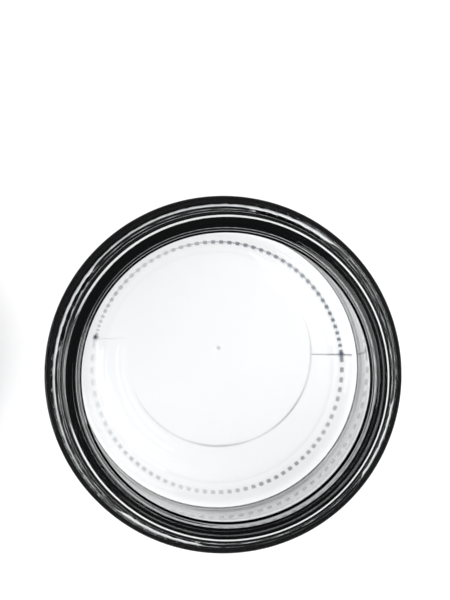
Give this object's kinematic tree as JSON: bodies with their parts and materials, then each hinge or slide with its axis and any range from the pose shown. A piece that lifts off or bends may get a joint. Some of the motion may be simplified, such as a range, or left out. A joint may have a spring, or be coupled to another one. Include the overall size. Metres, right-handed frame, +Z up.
{
  "type": "cosmetic cream jar",
  "caption": "Open clear glass cream jar with a threaded mouth and a hollow foot, beside its metal-shelled screw lid; a thin dished sealing disc with a pull tab lies on the lid.",
  "frame": {"origin": "on the standing surface, at the centre of the footprint of the jar and the lid that stands beside it; the jar's own axis is at x = +43.5 mm and the lid's at x = -44 mm", "axes": "+Z up along the jar's axis, towards its open mouth; +X from the lid to the jar; +Y completes the right-handed frame"},
  "size_m": [0.155, 0.068, 0.064],
  "materials": {
    "glass": "clear flint glass, fire polished",
    "lid_metal": "satin, spun",
    "cap_plastic": "moulded polypropylene, satin",
    "liner_foam": "fine closed-cell foam",
    "disc_plastic": "thin natural polyethylene, slightly milky"
  },
  "bodies": {
    "jar": {"glass_jar": "glass"},
    "lid": {"lid_shell": "lid_metal", "lid_inner_cap": "cap_plastic", "lid_liner": "liner_foam"},
    "disc": {"sealing_disc": "disc_plastic"}
  },
  "joints": [
    {"name": "lid_lift", "type": "slide", "parent": "jar", "child": "lid", "axis": [0, 0, 1], "range_m": [0, 0.085]},
    {"name": "disc_lift", "type": "slide", "parent": "lid", "child": "disc", "axis": [0, 0, 1], "range_m": [0, 0.06]}
  ]
}
